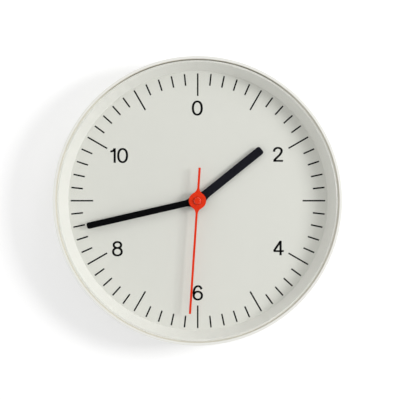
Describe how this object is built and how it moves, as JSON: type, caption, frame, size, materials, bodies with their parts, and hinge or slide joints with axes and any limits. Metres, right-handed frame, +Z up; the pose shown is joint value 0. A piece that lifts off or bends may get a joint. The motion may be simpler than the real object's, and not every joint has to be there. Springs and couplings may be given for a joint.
{
  "type": "wall clock",
  "caption": "Round wall clock: slim white moulded case with a deep sloping inner wall, flat lens, light dial, dark hands, red second hand and a geared battery movement.",
  "frame": {"origin": "on the hands' axis, in the plane of the clock's back where it meets the wall", "axes": "+Y points into the wall and the front faces -Y, +Z is up towards the top of the dial, +X is to the right seen from the front"},
  "size_m": [0.265, 0.04, 0.265],
  "materials": {
    "case_white": "satin moulded",
    "dial_white": "matt, printed marks",
    "clear_lens": "polished clear",
    "hand_dark": "satin dark paint",
    "hand_red": "satin red paint",
    "steel": "plain",
    "movement_black": "fine moulded grain",
    "brass": "turned",
    "gasket_rubber": "matt",
    "gear_plastic": "natural moulded",
    "magnet": "sintered",
    "winding": "enamelled wire",
    "board": "bare laminate",
    "chip_black": "moulded drop",
    "cell": "plain wrapper"
  },
  "bodies": {
    "case": {"front_ring": "case_white", "lens": "clear_lens", "dial": "dial_white", "back_cover": "case_white", "back_screws": "steel", "movement_housing": "movement_black", "movement_lid": "movement_black", "shaft_bushing": "brass", "dial_gasket": "gasket_rubber", "shaft_washer": "steel", "shaft_nut": "brass", "train_bridge": "movement_black", "stator": "steel", "coil_core": "steel", "coil_bobbin": "gear_plastic", "coil_winding": "winding", "circuit_board": "board", "chip": "chip_black", "quartz_crystal": "steel", "contact_negative": "steel", "contact_positive": "steel"},
    "battery": {"battery": "cell"},
    "rotor": {"rotor_pinion": "gear_plastic", "rotor_magnet": "magnet"},
    "intermediate": {"intermediate_wheel": "gear_plastic"},
    "second": {"second_wheel": "gear_plastic", "second_hand": "hand_red"},
    "third": {"third_wheel": "gear_plastic"},
    "minute_drive": {"minute_drive_wheel": "gear_plastic"},
    "minute": {"minute_pipe": "brass", "clutch_spring": "steel", "minute_hand": "hand_dark"},
    "motion": {"motion_wheel": "gear_plastic", "setting_knob": "movement_black"},
    "hour": {"hour_wheel": "gear_plastic", "hour_hand": "hand_dark"}
  },
  "joints": [
    {"name": "second_spin", "type": "hinge", "parent": "case", "child": "second", "pos_m": [0, -0.0165, 0], "axis": [0, 1, 0], "continuous": true},
    {"name": "intermediate_spin", "type": "hinge", "parent": "case", "child": "intermediate", "pos_m": [0.00116, -0.0165, 0.00829], "axis": [0, 1, 0], "continuous": true},
    {"name": "rotor_spin", "type": "hinge", "parent": "case", "child": "rotor", "pos_m": [0.00744, -0.0165, 0.01355], "axis": [0, 1, 0], "continuous": true},
    {"name": "third_spin", "type": "hinge", "parent": "case", "child": "third", "pos_m": [-0.00883, -0.0165, 0.0051], "axis": [0, 1, 0], "continuous": true},
    {"name": "minute_drive_spin", "type": "hinge", "parent": "case", "child": "minute_drive", "pos_m": [0, -0.0165, 0], "axis": [0, 1, 0], "continuous": true},
    {"name": "minute_spin", "type": "hinge", "parent": "case", "child": "minute", "pos_m": [0, -0.0165, 0], "axis": [0, 1, 0], "continuous": true},
    {"name": "motion_spin", "type": "hinge", "parent": "case", "child": "motion", "pos_m": [0.01034, -0.0165, 0.00376], "axis": [0, 1, 0], "continuous": true},
    {"name": "hour_spin", "type": "hinge", "parent": "case", "child": "hour", "pos_m": [0, -0.0165, 0], "axis": [0, 1, 0], "continuous": true},
    {"name": "battery_slide", "type": "slide", "parent": "case", "child": "battery", "axis": [0, 1, 0], "range_m": [0, 0.03]}
  ],
  "couplings": [
    {"joint": "intermediate_spin", "follows": "second_spin", "ratio": -5},
    {"joint": "rotor_spin", "follows": "second_spin", "ratio": 30},
    {"joint": "third_spin", "follows": "second_spin", "ratio": -0.13333},
    {"joint": "minute_drive_spin", "follows": "second_spin", "ratio": 0.016667},
    {"joint": "motion_spin", "follows": "minute_spin", "ratio": -0.33333},
    {"joint": "hour_spin", "follows": "minute_spin", "ratio": 0.083333}
  ]
}
